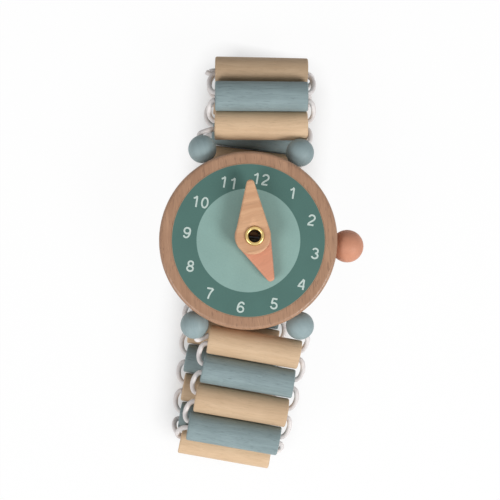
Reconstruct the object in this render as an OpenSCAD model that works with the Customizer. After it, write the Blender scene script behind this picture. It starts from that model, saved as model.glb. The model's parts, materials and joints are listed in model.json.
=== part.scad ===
// Wooden toy wristwatch: a round case with turning hands, a ball crown and a bracelet of short
// dowels on elastic. It lies on its back strap, with the wrist loop pressed almost flat.
// Origin: on the axis of the eyelet that carries the hands, at the dial face.
// +Z points out of the dial, +Y to the upper strap, +X to the crown.

/* [Case] */
// Diameter of the wooden case
case_d = 38.8; // [34:0.2:46]
// Thickness of the wooden case
case_t = 10; // [8:0.5:13]
// Rounding of the case's edges
case_edge_r = 0.8; // [0.3:0.1:1.5]
// How far the eyelet sits to the right of the case's centre
pivot_x = 1.2; // [0:0.1:2]
// How far the eyelet sits above the case's centre
pivot_y = 0.9; // [0:0.1:2]

/* [Dial] */
// Diameter of the printed dial card
dial_d = 33.4; // [28:0.2:33.6]
// Thickness of the dial card
dial_t = 0.4; // [0.2:0.1:0.8]

/* [Hands] */
// Length of the minute hand from the pivot to its tip
minute_len = 12.3; // [9:0.1:14]
// Length of the hour hand from the pivot to its tip
hour_len = 10.7; // [7:0.1:12]
// Width of a hand at the pivot
hand_w = 7.7; // [6.2:0.1:9]
// Width of a hand's blunt tip
hand_tip_w = 1.4; // [0.8:0.1:2.5]
// Thickness of a hand
hand_t = 1.8; // [1:0.1:2.5]
// How far the rounded tail's centre lies behind the pivot
hand_tail = 0.4; // [0:0.1:1]
// Direction of the minute hand, from +X towards +Y
minute_angle = 97; // [0:1:359]
// Direction of the hour hand, from +X towards +Y
hour_angle = 294; // [0:1:359]

/* [Eyelet and washers] */
// Bore of the tubular eyelet
eyelet_bore = 2.7; // [2:0.1:3.2]
// Wall of the eyelet
eyelet_wall = 0.35; // [0.25:0.05:0.5]
// Diameter of the eyelet's rolled rim
eyelet_rim_d = 4.4; // [4.3:0.1:5.6]
// Height of the eyelet's rolled rim
eyelet_rim_t = 0.5; // [0.3:0.1:0.8]
// Diameter of the washer between the dial and the hour hand
spacer_d = 6; // [5:0.1:6]
// Thickness of the washer between the dial and the hour hand
spacer_t = 0.5; // [0.3:0.1:1]
// Thickness of the washer between the hands
hand_washer_t = 0.3; // [0.2:0.1:0.6]
// Diameter of the washer under the eyelet's clinched end
back_washer_d = 8; // [6.5:0.1:10]
// Thickness of the washer under the eyelet's clinched end
back_washer_t = 0.6; // [0.4:0.1:1]
// Running gap between pieces that turn on each other
run_gap = 0.05; // [0.03:0.01:0.08]

/* [Crown and beads] */
// Diameter of the ball crown
crown_d = 7; // [5:0.1:8]
// How deep the crown sits in the rim
crown_sink = 1; // [0.4:0.1:1.4]
// Diameter of the crown's peg
crown_peg_d = 3; // [2:0.1:4]
// Length of the crown's peg inside the rim
crown_peg_len = 6; // [3:0.5:8]
// Diameter of the lug beads
bead_d = 6.2; // [5:0.1:6.8]
// How deep the two lower beads sit in the rim
bead_sink = 0.7; // [0:0.1:1]
// Depth of the drilled sockets that hold the elastic's ends
socket_depth = 7; // [4:0.5:8]

/* [Strap] */
// Diameter of a strap dowel
dowel_d = 6.4; // [5.4:0.1:7.4]
// Length of a strap dowel
dowel_len = 20.5; // [18:0.5:24]
// Rounding of a dowel's ends
dowel_edge = 0.4; // [0.2:0.1:0.6]
// Least gap between neighbouring dowels
dowel_gap = 0.2; // [0.1:0.05:0.5]
// How far the strap's dowels are turned from the case's X axis
strap_turn = -7.5; // [-9:0.5:-5]
// How far the first dowel of the upper strap lies below the beads
upper_drop = 2; // [1.5:0.1:2.5]

/* [Elastic] */
// Thickness of the elastic cord
cord_d = 1.1; // [0.8:0.05:1.3]
// How far the elastic's loops bulge from the dowels' ends
loop_rise = 1.3; // [1.1:0.1:2]

/* [Hidden] */
$fn = 64;
TUBE_SIDES = 8;
LOOP_STEPS = 7;
LEAD_STEPS = 8;

WOOD = "#d9b48c";
CASE_WOOD = "#c89a78";
STAIN = "#9aabac";
CORAL = "#dd9a7b";
DIAL_GREEN = "#54746f";
BRASS = "#d2b680";
ELASTIC = "#e4e0dc";
FIBRE = "#b09a80";

case_r = case_d / 2;
case_mid = [-pivot_x, -pivot_y, -case_t / 2];
glue_gap = 0.05;
cut_over = 1;
cord_r = cord_d / 2;
bead_r = bead_d / 2;
dowel_r = dowel_d / 2;
crown_r = crown_d / 2;

// Stack of pieces on the eyelet, from the dial upwards
spacer_z = run_gap;
hour_z = spacer_z + spacer_t + run_gap;
hand_washer_z = hour_z + hand_t + run_gap;
minute_z = hand_washer_z + hand_washer_t + run_gap;
rim_z = minute_z + hand_t + run_gap;
barrel_r = eyelet_bore / 2 + eyelet_wall;
back_recess = back_washer_t + eyelet_rim_t + 2 * glue_gap;

// Middle of each strap's first dowel, along that dowel, from the case's centre
upper_shift = 1.8;
lower_shift = 5.37;

// Lugs: the end of the first dowel that the bead keeps to, how far the bead lies beyond that end,
// the lean of the bead's hole, how deep the bead sits, and whether the elastic comes round the bead
bead_gap = 0.1;
side_gap = 0.4;
LUGS = [
    [-1, 2.51, -14, 0, 0],
    [1, -1.44, -10, 0, 0],
    [-1, bead_r + side_gap, 40, bead_sink, 1],
    [1, -1.11, 0, bead_sink, 0]];

// Elastic in a dowel: two strands cross, and each leaves the bore beside the next dowel
STRAND_GAP = 0.45;
MOST_BEND = 76;
strand_off = (cord_d + STRAND_GAP) / (2 * cos(MOST_BEND / 2));
dowel_bore_r = strand_off + cord_r + run_gap;
strand_inset = 0.1;
open_gap = 0.8;
lead_handle = 2;

// Rise of each step of the strap as it lies, and its slip along the dowels
UPPER_RISE = [20, -36, -95, -158];
LOWER_RISE = [-3, -4, -7, -54, -135];
LOWER_SLIP = [-0.15, -0.35, -0.55, -1.2, -1.1];
UPPER_SQUARE = 3;
pitch = dowel_d + dowel_gap;

function unit(v) = v / norm(v);
function sum(list, i = 0) = i >= len(list) ? 0 : list[i] + sum(list, i + 1);
function spin(a) = [cos(a), sin(a), 0];
function across(a) = [-sin(a), cos(a), 0];
function along_axis(v, a) = v * spin(a);
function two_digits(k) = k < 10 ? str("0", k) : str(k);

// Lugs and beads
function is_upper_lug(i) = i < 2;
function lug_along(i) =
    (is_upper_lug(i) ? upper_shift : lower_shift) + LUGS[i][0] * (dowel_len / 2 + LUGS[i][1]);
function lug_angle(i) =
    is_upper_lug(i) ? acos(lug_along(i) / bead_reach(i))
    : strap_turn - acos(lug_along(i) / bead_reach(i));
function bead_reach(i) = case_r + bead_r + bead_gap - LUGS[i][3];
function bead_at(i) = case_mid + bead_reach(i) * spin(lug_angle(i));
function bead_angle(i) = lug_angle(i) + LUGS[i][2];
function bead_way(i) = spin(bead_angle(i));

// First dowels: each clears the beads and the case beside it
bead_clear = bead_r + dowel_r + dowel_gap;
upper_y = max(bead_at(0).y, bead_at(1).y) + sqrt(pow(bead_clear, 2) - pow(upper_drop, 2));
upper_first = [case_mid.x + upper_shift, upper_y, case_mid.z - upper_drop];
back_z = upper_first.z + pitch * sum([for (e = UPPER_RISE) sin(e)]);
lower_z = back_z - pitch * sum([for (e = LOWER_RISE) sin(e)]);
lower_reach = sqrt(pow(bead_clear, 2) - pow(lower_z - case_mid.z, 2));
lower_n = min(
    along_axis(bead_at(3), strap_turn + 90) - lower_reach,
    along_axis(case_mid, strap_turn + 90) - case_r - dowel_r - dowel_gap);
lower_a = along_axis(case_mid, strap_turn) + lower_shift;
lower_first = lower_a * spin(strap_turn) + lower_n * across(strap_turn) + [0, 0, lower_z];

// Strap route: down from the upper lugs, back under the case, and up to the lower lugs
function upper_turn(i) = i < UPPER_SQUARE ? 0 : strap_turn;
function upper_step(i) =
    pitch * (cos(UPPER_RISE[i]) * across(upper_turn(i + 1)) + sin(UPPER_RISE[i]) * [0, 0, 1]);
function lower_step(i) =
    pitch * (-cos(LOWER_RISE[i]) * across(strap_turn) + sin(LOWER_RISE[i]) * [0, 0, 1])
    + LOWER_SLIP[i] * spin(strap_turn);
function upper_at(i) = i == 0 ? upper_first : upper_at(i - 1) + upper_step(i - 1);
function lower_at(i) = i == 0 ? lower_first : lower_at(i - 1) + lower_step(i - 1);

upper_count = len(UPPER_RISE) + 1;
lower_count = len(LOWER_RISE) + 1;
back_from = upper_at(upper_count - 1);
back_to = lower_at(lower_count - 1);
back_span = along_axis(back_from - back_to, strap_turn + 90);
back_steps = 2 * floor((back_span / pitch - 1) / 2) + 1;
dowel_count = upper_count + back_steps + lower_count - 1;

function turn_of(k) = k <= UPPER_SQUARE ? 0 : strap_turn;
function dowel_at(k) =
    k <= upper_count ? upper_at(k - 1)
    : k > upper_count + back_steps ? lower_at(dowel_count - k)
    : back_from + (back_to - back_from) * (k - upper_count) / back_steps;

// The strap hangs as two chains, and the loop between them is where the ring is open
function is_upper(k) = k <= UPPER_SQUARE;
function next_of(k) = is_upper(k) ? k + 1 : k - 1;
function is_free_end(k) = k == UPPER_SQUARE + 1;
function square_to(v, a) = unit(v - along_axis(v, a) * spin(a));
function way_on(k) = square_to(dowel_at(next_of(k)) - dowel_at(k), turn_of(k));
function lug_mid(k) = (k == 1 ? bead_at(0) + bead_at(1) : bead_at(2) + bead_at(3)) / 2;
function way_back(k) =
    k == 1 || k == dowel_count ? square_to(lug_mid(k) - dowel_at(k), turn_of(k))
    : square_to(dowel_at(is_upper(k) ? k - 1 : k + 1) - dowel_at(k), turn_of(k));
function mouth(k, side, way, out = 0) =
    dowel_at(k) + side * (dowel_len / 2 + out) * spin(turn_of(k)) + strand_off * way;

// Tube along points: rings square to the path, held level by a reference direction
function heading(path, i) =
    unit(path[min(i + 1, len(path) - 1)] - path[max(i - 1, 0)]);
function ring(p, t, level, r) =
    let (u = unit(cross(t, level)), v = cross(u, t))
    [for (j = [0 : TUBE_SIDES - 1]) p + r * (cos(360 * j / TUBE_SIDES) * u + sin(360 * j / TUBE_SIDES) * v)];

module tube(path, level, r, first = undef, last = undef) {
    n = len(path);
    points = [for (i = [0 : n - 1])
        each ring(path[i], i == 0 && first != undef ? first
            : i == n - 1 && last != undef ? last : heading(path, i), level, r)];
    sides = [for (i = [0 : n - 2], j = [0 : TUBE_SIDES - 1])
        let (a = i * TUBE_SIDES, b = (j + 1) % TUBE_SIDES)
        each [[a + j, a + TUBE_SIDES + j, a + TUBE_SIDES + b], [a + j, a + TUBE_SIDES + b, a + b]]];
    end = (n - 1) * TUBE_SIDES;
    caps = [for (j = [1 : TUBE_SIDES - 2])
        each [[0, j, j + 1], [end, end + j + 1, end + j]]];
    polyhedron(points, concat(sides, caps));
}

function arch(a, b, out) =
    [for (i = [0 : LOOP_STEPS])
        let (t = 180 * i / LOOP_STEPS)
        a + (b - a) * (1 - cos(t)) / 2 + loop_rise * sin(t) * out];
function bezier(a, b, c, d, steps) =
    [for (i = [1 : steps])
        let (t = i / steps, s = 1 - t)
        s * s * s * a + 3 * s * s * t * b + 3 * s * t * t * c + t * t * t * d];

// Case and dial
module case_blank() {
    rotate_extrude() {
        square([case_r - case_edge_r, case_t]);
        translate([0, case_edge_r]) square([case_r, case_t - 2 * case_edge_r]);
        for (y = [case_edge_r, case_t - case_edge_r])
            intersection() {
                translate([case_r - case_edge_r, y]) circle(case_edge_r);
                square([case_r, case_t]);
            }
    }
}

module case() {
    color(CASE_WOOD)
    difference() {
        translate([case_mid.x, case_mid.y, -case_t]) case_blank();
        translate([case_mid.x, case_mid.y, -dial_t]) cylinder(h = dial_t + cut_over, d = dial_d + 2 * glue_gap);
        translate([0, 0, -case_t - cut_over]) cylinder(h = case_t + 2 * cut_over, r = barrel_r + glue_gap);
        translate([0, 0, -case_t - cut_over])
            cylinder(h = back_recess + cut_over, d = back_washer_d + 2 * glue_gap);
        translate(crown_at()) sphere(crown_r + glue_gap);
        translate(crown_at()) rotate([0, -90, 0])
            cylinder(h = crown_peg_reach() + glue_gap, d = crown_peg_d + 2 * glue_gap);
        for (i = [0 : 3]) {
            translate(bead_at(i)) sphere(bead_r + bead_gap);
            translate(bead_at(i)) rotate([0, 0, bead_angle(i)]) rotate([0, -90, 0])
                cylinder(h = socket_reach(i) + glue_gap, r = cord_r + glue_gap);
        }
    }
}

module dial() {
    color(DIAL_GREEN)
    difference() {
        translate([case_mid.x, case_mid.y, -dial_t]) cylinder(h = dial_t, d = dial_d);
        translate([0, 0, -dial_t - cut_over]) cylinder(h = dial_t + 2 * cut_over, r = barrel_r + glue_gap);
    }
}

// Crown
function crown_at() = case_mid + [case_r + crown_r - crown_sink, 0, 0];
function crown_peg_reach() = crown_r - crown_sink + crown_peg_len;

module crown() {
    color(CORAL)
    translate(crown_at()) {
        sphere(crown_r);
        rotate([0, -90, 0]) cylinder(h = crown_peg_reach(), d = crown_peg_d);
    }
}

// Hands on their eyelet
module hand(length, z, angle) {
    tail_r = hand_w / 2;
    reach = length + hand_tail;
    lean = asin((tail_r - hand_tip_w / 2) / reach);
    side = tail_r * [sin(lean), cos(lean)];
    rotate([0, 0, angle])
    difference() {
        translate([0, 0, z]) linear_extrude(hand_t) {
            translate([-hand_tail, 0]) circle(tail_r);
            polygon([
                [side.x - hand_tail, side.y],
                [side.x - hand_tail, -side.y],
                [length, -hand_tip_w / 2],
                [length, hand_tip_w / 2]]);
        }
        translate([0, 0, z - cut_over]) cylinder(h = hand_t + 2 * cut_over, r = barrel_r + run_gap);
    }
}

module hour_hand() {
    color(CORAL) hand(hour_len, hour_z, hour_angle);
}

module minute_hand() {
    color(WOOD) hand(minute_len, minute_z, minute_angle);
}

module washer(d, t, z) {
    color(FIBRE)
    difference() {
        translate([0, 0, z]) cylinder(h = t, d = d);
        translate([0, 0, z - cut_over]) cylinder(h = t + 2 * cut_over, r = barrel_r + glue_gap);
    }
}

module spacer_washer() {
    washer(spacer_d, spacer_t, spacer_z);
}

module hand_washer() {
    washer(spacer_d, hand_washer_t, hand_washer_z);
}

module back_washer() {
    washer(back_washer_d, back_washer_t, -case_t + back_recess - back_washer_t - glue_gap);
}

module eyelet_rim(z) {
    rotate_extrude() {
        translate([eyelet_bore / 2, z]) square([eyelet_rim_d / 2 - eyelet_bore / 2 - eyelet_rim_t / 2, eyelet_rim_t]);
        translate([eyelet_rim_d / 2 - eyelet_rim_t / 2, z + eyelet_rim_t / 2]) circle(eyelet_rim_t / 2);
    }
}

module eyelet() {
    clinch_z = -case_t + back_recess - back_washer_t - eyelet_rim_t - 2 * glue_gap;
    length = rim_z + eyelet_rim_t - clinch_z;
    color(BRASS) {
        difference() {
            translate([0, 0, clinch_z]) cylinder(h = length, r = barrel_r);
            translate([0, 0, clinch_z - cut_over]) cylinder(h = length + 2 * cut_over, d = eyelet_bore);
        }
        eyelet_rim(rim_z);
        eyelet_rim(clinch_z);
    }
}

// Beads at the lugs
module bead(i) {
    color(STAIN)
    translate(bead_at(i))
    difference() {
        sphere(bead_r);
        rotate([0, 0, bead_angle(i)]) rotate([0, 90, 0])
            cylinder(h = bead_d + cut_over, r = cord_r + run_gap, center = true);
    }
}

// Strap dowels
module dowel(k) {
    color(k % 2 == 0 ? STAIN : WOOD)
    translate(dowel_at(k)) rotate([0, 0, turn_of(k)]) rotate([0, 90, 0])
    rotate_extrude() {
        translate([dowel_bore_r, -dowel_len / 2])
            square([dowel_r - dowel_edge - dowel_bore_r, dowel_len]);
        translate([dowel_bore_r, -dowel_len / 2 + dowel_edge])
            square([dowel_r - dowel_bore_r, dowel_len - 2 * dowel_edge]);
        for (z = [-1, 1])
            translate([dowel_r - dowel_edge, z * (dowel_len / 2 - dowel_edge)]) circle(dowel_edge);
    }
}

// Elastic in a dowel: each strand starts at one mouth, crosses, and loops on to the next dowel
module strap_cord(k) {
    far = next_of(k);
    on = way_on(k);
    level = unit(cross(spin(turn_of(k)), on - way_back(k)));
    color(ELASTIC)
    for (side = [-1, 1]) {
        out = side * spin(turn_of(k));
        start = mouth(k, -side, way_back(k), -strand_inset);
        middle = dowel_at(k) + side * strand_off * level;
        if (is_free_end(k))
            tube([start, middle, mouth(k, side, on, -strand_inset)], level, cord_r, out, out);
        else {
            open = far == UPPER_SQUARE + 1 && is_upper(k) ? open_gap : 0;
            loop = arch(mouth(k, side, on), mouth(far, side, -on, open), out);
            tube(concat([start, middle], loop), level, cord_r, out, -out);
        }
    }
}

// Elastic between the case and the first dowels
function socket_reach(i) = bead_r + bead_gap - LUGS[i][3] + socket_depth;

module lead_cord(i, k, side) {
    out = side * spin(turn_of(k));
    inner = bead_at(i) - socket_reach(i) * bead_way(i);
    outer = bead_at(i) + bead_r * bead_way(i);
    end = mouth(k, side, way_back(k));
    from = unit(out - LUGS[i][4] * way_back(k));
    turn = bezier(outer, outer + lead_handle * bead_way(i), end + lead_handle * from, end, LEAD_STEPS);
    tube(concat([inner, bead_at(i), outer], turn), [0, 0, 1], cord_r, bead_way(i), -out);
}

module upper_lead_cords() {
    color(ELASTIC) {
        lead_cord(0, 1, -1);
        lead_cord(1, 1, 1);
    }
}

module lower_lead_cords() {
    color(ELASTIC) {
        lead_cord(2, dowel_count, -1);
        lead_cord(3, dowel_count, 1);
    }
}

BEADS = ["bead_upper_left", "bead_upper_right", "bead_lower_left", "bead_lower_right"];
DOWELS = [for (k = [1 : dowel_count]) str("dowel_", two_digits(k))];
CORDS = [for (k = [1 : dowel_count]) str("cord_", two_digits(k))];

case();
dial();
crown();
eyelet();
spacer_washer();
hour_hand();
hand_washer();
minute_hand();
back_washer();
upper_lead_cords();
lower_lead_cords();
for (i = [0 : 3])
    bead(i);
for (k = [1 : dowel_count]) {
    dowel(k);
    strap_cord(k);
}
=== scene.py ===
"""Dresses the frame of a wooden toy watch: wood finishes, printed dial, rounded hands and elastic."""
import json
import math

import bpy
import numpy as np
from mathutils import Matrix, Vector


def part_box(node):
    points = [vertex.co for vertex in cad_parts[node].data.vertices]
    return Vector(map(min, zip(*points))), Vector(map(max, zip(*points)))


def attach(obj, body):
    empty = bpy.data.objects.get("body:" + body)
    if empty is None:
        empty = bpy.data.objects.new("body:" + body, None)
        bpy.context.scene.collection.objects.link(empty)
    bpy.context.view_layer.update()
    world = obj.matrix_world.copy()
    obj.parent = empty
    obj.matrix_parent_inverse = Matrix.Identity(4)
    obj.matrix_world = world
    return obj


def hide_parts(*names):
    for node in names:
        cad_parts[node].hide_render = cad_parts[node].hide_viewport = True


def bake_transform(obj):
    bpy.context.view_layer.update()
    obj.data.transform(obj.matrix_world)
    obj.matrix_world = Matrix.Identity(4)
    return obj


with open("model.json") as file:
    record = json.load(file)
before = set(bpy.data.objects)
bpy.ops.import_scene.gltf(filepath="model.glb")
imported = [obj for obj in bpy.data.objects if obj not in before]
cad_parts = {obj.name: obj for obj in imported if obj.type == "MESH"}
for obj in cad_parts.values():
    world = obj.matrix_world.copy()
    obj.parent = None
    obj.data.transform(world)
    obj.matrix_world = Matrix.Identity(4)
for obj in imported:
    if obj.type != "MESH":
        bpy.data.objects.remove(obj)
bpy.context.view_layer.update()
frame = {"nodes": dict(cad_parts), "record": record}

bl_info = {
    "name": "Toy Watch Finish",
    "version": (1, 0, 0),
    "blender": (4, 5, 0),
    "location": "View3D > Sidebar > Watch",
    "description": "Dresses the frame of a wooden toy watch with its finishes, dial print and elastic",
    "category": "Object",
}

# Values read from the frame
MM = 0.001
HINGES = {joint["name"]: joint for joint in frame["record"]["behaviour"]["joints"]}
DOWELS = sorted(name for name in frame["nodes"] if name.startswith("dowel_"))
BEADS = ("bead_upper_left", "bead_upper_right", "bead_lower_left", "bead_lower_right")
COUNT = len(DOWELS)
UPPER_COUNT = 3
UPPER_LEANS = (2.1, 2.2, 1.5)
UPPER_SLIPS = (-0.35 * MM, -0.35 * MM, 0.15 * MM)
FOLD_LEAN = 3.2
FOLD_SHIFT = 1.0 * MM
FOLD_MIDDLE = 8
FOLD_REACH = 4
LOOP_SLACK = 0.4
LOOP_STEPS = 22
LEAD_STEPS = 16
STRAND_STEPS = 8
STRAND_HANDLE = 4 * MM
MOUTH_INSET = 0.1 * MM
CORD_SIDES = 14
TURN_STEPS = 56
DOWEL_SWELL = 0.004
SAW_SKEW = 0.03
MOTTLE_SHARE = 0.35
DEEP_TONE = 0.62
GOLDEN_TURN = math.pi * (3 - math.sqrt(5))


def hinge_of(k):
    """Hinge on the axis of dowel k; the last dowel's hinge is the one that opens the strap."""
    return HINGES["strap_open" if k == COUNT else f"dowel_{k:02d}_hinge"]


def span(node, direction):
    """Size of a node's box along x, y or z."""
    low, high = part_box(node)
    return float(high[direction] - low[direction])


def middle(node):
    """Middle of a node's box."""
    low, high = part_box(node)
    return (np.array(low) + np.array(high)) / 2


def unit(vector):
    """The vector at length one."""
    return vector / np.linalg.norm(vector)


def level_turn(angle):
    """Matrix that turns row vectors about z by an angle in degrees."""
    c, s = math.cos(math.radians(angle)), math.sin(math.radians(angle))
    return np.array([[c, s, 0.0], [-s, c, 0.0], [0.0, 0.0, 1.0]])


def fold_share(k):
    """How much dowel k of the back run is slewed: 1 - ((k - middle) / reach)^2, and never less than 0."""
    return max(0.0, 1 - ((k - FOLD_MIDDLE) / FOLD_REACH) ** 2)


def dowel_lean(k):
    """How far dowel k lies askew in the soft elastic, in degrees: the upper strap and the run behind it."""
    if k <= UPPER_COUNT:
        return UPPER_LEANS[k - 1]
    return FOLD_LEAN * fold_share(k)


def dowel_at(k):
    """Centre of dowel k.

    The upper strap leans about its first dowel, and the fold behind it lies a little to the right.
    """
    centre = np.array(hinge_of(k)["pos_m"])
    if k > UPPER_COUNT:
        return centre + np.array([FOLD_SHIFT * fold_share(k), 0, 0])
    first = np.array(hinge_of(1)["pos_m"])
    return first + (centre - first) @ level_turn(UPPER_LEANS[0]) + np.array([0, UPPER_SLIPS[k - 1], 0])


def dowel_axis(k):
    """Direction of dowel k, from its left end to its right end."""
    return unit(np.array(hinge_of(k)["axis"]) @ level_turn(dowel_lean(k)))


DOWEL_LENGTH = span("dowel_01", 0)
DOWEL_WIDTH = span("dowel_01", 2)
BEAD_WIDTH = span("bead_upper_left", 2)
CROWN_WIDTH = span("crown", 2)
DIAL_MIDDLE = middle("dial")
DIAL_FACE = float(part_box("dial")[1][2])


# Sizes and colours that a user would change
def length(name, description, default):
    """A size in metres."""
    return bpy.props.FloatProperty(
        name=name, description=description, default=default, unit="LENGTH", precision=5)


def colour(name, description, default):
    """A colour as it looks on screen, from 0 to 255."""
    return bpy.props.FloatVectorProperty(
        name=name, description=description, default=[part / 255 for part in default],
        subtype="COLOR_GAMMA", size=3, min=0, max=1)


class WatchSizes(bpy.types.PropertyGroup):
    """Sizes of the pieces that are made here."""

    dowel_edge: length("Dowel edge", "Rounding of a dowel's ends", 0.38 * MM)
    dowel_bore: length("Dowel bore", "Radius of the hole through a dowel", 1.583 * MM)
    bead_bore: length("Bead bore", "Radius of the hole through a bead", 0.6 * MM)
    cord_thickness: length("Cord thickness", "Diameter of the elastic", 1.1 * MM)
    strand_offset: length("Strand offset", "Distance of a strand from the dowel's axis", 0.983 * MM)
    loop_rise: length("Loop rise", "How far the elastic's loops stand off the dowels' ends", 1.35 * MM)
    lead_handle: length("Lead handle", "How far the elastic runs straight out of a bead", 0.7 * MM)
    socket_depth: length("Socket depth", "How deep the elastic goes into the case", 7 * MM)
    hand_width: length("Hand width", "Width of a hand at the pivot", 7.7 * MM)
    hand_tip: length("Hand tip", "Width of a hand's blunt tip", 1.7 * MM)
    hand_tail: length("Hand tail", "How far the tail's centre lies behind the pivot", 0.05 * MM)
    hand_slip: length("Hand slip", "How far a hand's hole lies beside its middle", 0.35 * MM)
    hand_edge: length("Hand edge", "Rounding of a hand's edges", 0.4 * MM)
    hand_hole: length("Hand hole", "Radius of the hole in a hand", 1.75 * MM)
    minute_reach: length("Minute hand reach", "From the pivot to the minute hand's tip", 12.1 * MM)
    hour_reach: length("Hour hand reach", "From the pivot to the hour hand's tip", 10.35 * MM)
    eyelet_bore: length("Eyelet bore", "Radius of the eyelet's hole", 1.28 * MM)
    rim_inset: length("Rim inset", "How much narrower the rolled rim is than the solid's", 0.1 * MM)
    eyelet_wall: length("Eyelet wall", "Thickness of the eyelet's tube", 0.35 * MM)
    digit_height: length("Digit height", "Height of the dial's numbers", 2.45 * MM)
    number_ring: length("Number ring", "Radius of the ring of numbers", 14.06 * MM)
    pale_disc: length("Pale disc", "Radius of the dial's pale middle", 11.25 * MM)
    print_edge: length("Print edge", "Radius of the printed ring, inside a bare edge", 16.6 * MM)


class WatchColours(bpy.types.PropertyGroup):
    """Colours of the finishes."""

    natural_light: colour("Natural wood, light", "Lighter tone of the bare dowels", (224, 194, 160))
    natural_dark: colour("Natural wood, dark", "Darker tone of the bare dowels", (204, 172, 137))
    stain_light: colour("Stain, light", "Lighter tone of the blue-grey stain", (152, 171, 174))
    stain_dark: colour("Stain, dark", "Darker tone of the blue-grey stain", (128, 146, 148))
    case_light: colour("Case wood, light", "Lighter tone of the case", (186, 145, 115))
    case_dark: colour("Case wood, dark", "Darker tone of the case", (153, 114, 87))
    coral_light: colour("Coral, light", "Lighter tone of the coral paint", (214, 150, 120))
    coral_dark: colour("Coral, dark", "Darker tone of the coral paint", (199, 137, 109))
    hand_light: colour("Hand wood, light", "Lighter tone of the minute hand", (228, 183, 144))
    hand_dark: colour("Hand wood, dark", "Darker tone of the minute hand", (202, 154, 118))
    dial_ring: colour("Dial ring", "Dark ring of the dial", (75, 110, 103))
    dial_disc: colour("Dial disc", "Pale middle of the dial", (138, 170, 163))
    number_ink: colour("Number ink", "Colour of the dial's numbers", (196, 212, 206))
    brass: colour("Brass", "Colour of the eyelet", (214, 186, 124))
    elastic: colour("Elastic", "Colour of the cord", (230, 224, 222))
    fibre: colour("Fibre", "Colour of the washers", (176, 154, 128))


# Meshes from grids
def placed(name, data):
    """A new object in the scene."""
    made = bpy.data.objects.new(name, data)
    bpy.context.scene.collection.objects.link(made)
    return made


def piece_from_grid(name, points, ends, body, material, grain=None, winding=None, shade=1.0):
    """A piece from a grid of points, rows along the shape and columns round it.

    Neighbouring rows and columns are joined by quads, and columns always close into rings. With ends
    "joined" the last row meets the first one, and with "capped" each end ring is filled. grain gives
    each point its place in the wood, in millimetres, and shade is how light that piece is drawn: its own
    tone, and on one dowel painted shade as well.
    winding gives each corner its place along and round a cord. body is the body that the piece rides
    on; when it is two bodies and two points instead, the piece is left where it is made, riding on neither.
    """
    rows, columns = points.shape[:2]
    index = np.arange(rows * columns).reshape(rows, columns)
    beside = np.roll(index, -1, axis=1)
    if ends == "joined":
        quads = np.stack([index, beside, np.roll(beside, -1, axis=0), np.roll(index, -1, axis=0)], axis=-1)
    else:
        quads = np.stack([index[:-1], beside[:-1], beside[1:], index[1:]], axis=-1)
    flat = points.reshape(-1, 3)
    corners = flat[quads.reshape(-1, 4)]
    volume = np.einsum("ij,ij->", corners[:, 0], np.cross(corners[:, 1], corners[:, 2]))
    volume += np.einsum("ij,ij->", corners[:, 0], np.cross(corners[:, 2], corners[:, 3]))
    inward = volume < 0
    order = [3, 2, 1, 0] if inward else [0, 1, 2, 3]
    faces = quads[..., order].reshape(-1, 4).tolist()
    if ends == "capped":
        first, last = index[0].tolist(), index[-1].tolist()
        faces.append(first if inward else first[::-1])
        faces.append(last[::-1] if inward else last)
    mesh = bpy.data.meshes.new(name)
    mesh.from_pydata(flat, [], faces)
    mesh.polygons.foreach_set("use_smooth", np.ones(len(faces), dtype=bool))
    if grain is not None:
        tint = mesh.attributes.new("shade", "FLOAT", "POINT")
        tint.data.foreach_set("value", np.full(len(flat), shade, dtype=np.float32))
        attribute = mesh.attributes.new("grain", "FLOAT_VECTOR", "POINT")
        attribute.data.foreach_set("vector", np.ascontiguousarray(grain.reshape(-1), dtype=np.float32))
    if winding is not None:
        layer = mesh.uv_layers.new(name="winding")
        corner_uv = winding[..., order, :].reshape(-1, 2)
        spare = np.zeros((len(mesh.loops) - len(corner_uv), 2))
        layer.data.foreach_set("uv", np.concatenate([corner_uv, spare]).ravel().astype(np.float32))
    mesh.update()
    piece = placed(name, mesh)
    mesh.materials.append(material)
    if isinstance(body, str):
        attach(piece, body)
    else:
        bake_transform(piece)
    return piece


def square_pair(axis):
    """Two directions square to an axis and to each other."""
    helper = np.array([0.0, 0.0, 1.0]) if abs(axis[2]) < 0.9 else np.array([0.0, 1.0, 0.0])
    first = unit(np.cross(helper, axis))
    return first, np.cross(axis, first)


def turn_profile(profile, steps):
    """A profile of (along, radius) turned about its axis: local points (along, r cos a, r sin a)."""
    angle = np.linspace(0, 2 * np.pi, steps, endpoint=False)
    along = np.repeat(profile[:, :1], steps, axis=1)
    return np.stack([along, profile[:, 1:] * np.cos(angle), profile[:, 1:] * np.sin(angle)], axis=-1)


def set_on_axis(local, centre, axis):
    """Local points (along, side, side) carried to a centre and an axis."""
    first, second = square_pair(axis)
    return centre + local @ np.stack([axis, first, second])


def wood_place(local, seed):
    """Place in the wood, in millimetres, with its own stretch of the grain for each seed."""
    return local / MM + np.array([37.0, 53.0, 71.0]) * (seed + 1)


def arc(centre, radius, start, stop, steps):
    """Points (along, radius) on an arc, with angles in degrees from the axis direction."""
    angle = np.radians(np.linspace(start, stop, steps))
    return np.stack([centre[0] + radius * np.cos(angle), centre[1] + radius * np.sin(angle)], axis=-1)


def line(start, stop, steps):
    """Evenly spaced points from start up to, but not including, stop."""
    share = np.linspace(0, 1, steps, endpoint=False)[:, None]
    return np.array(start) * (1 - share) + np.array(stop) * share


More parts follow.
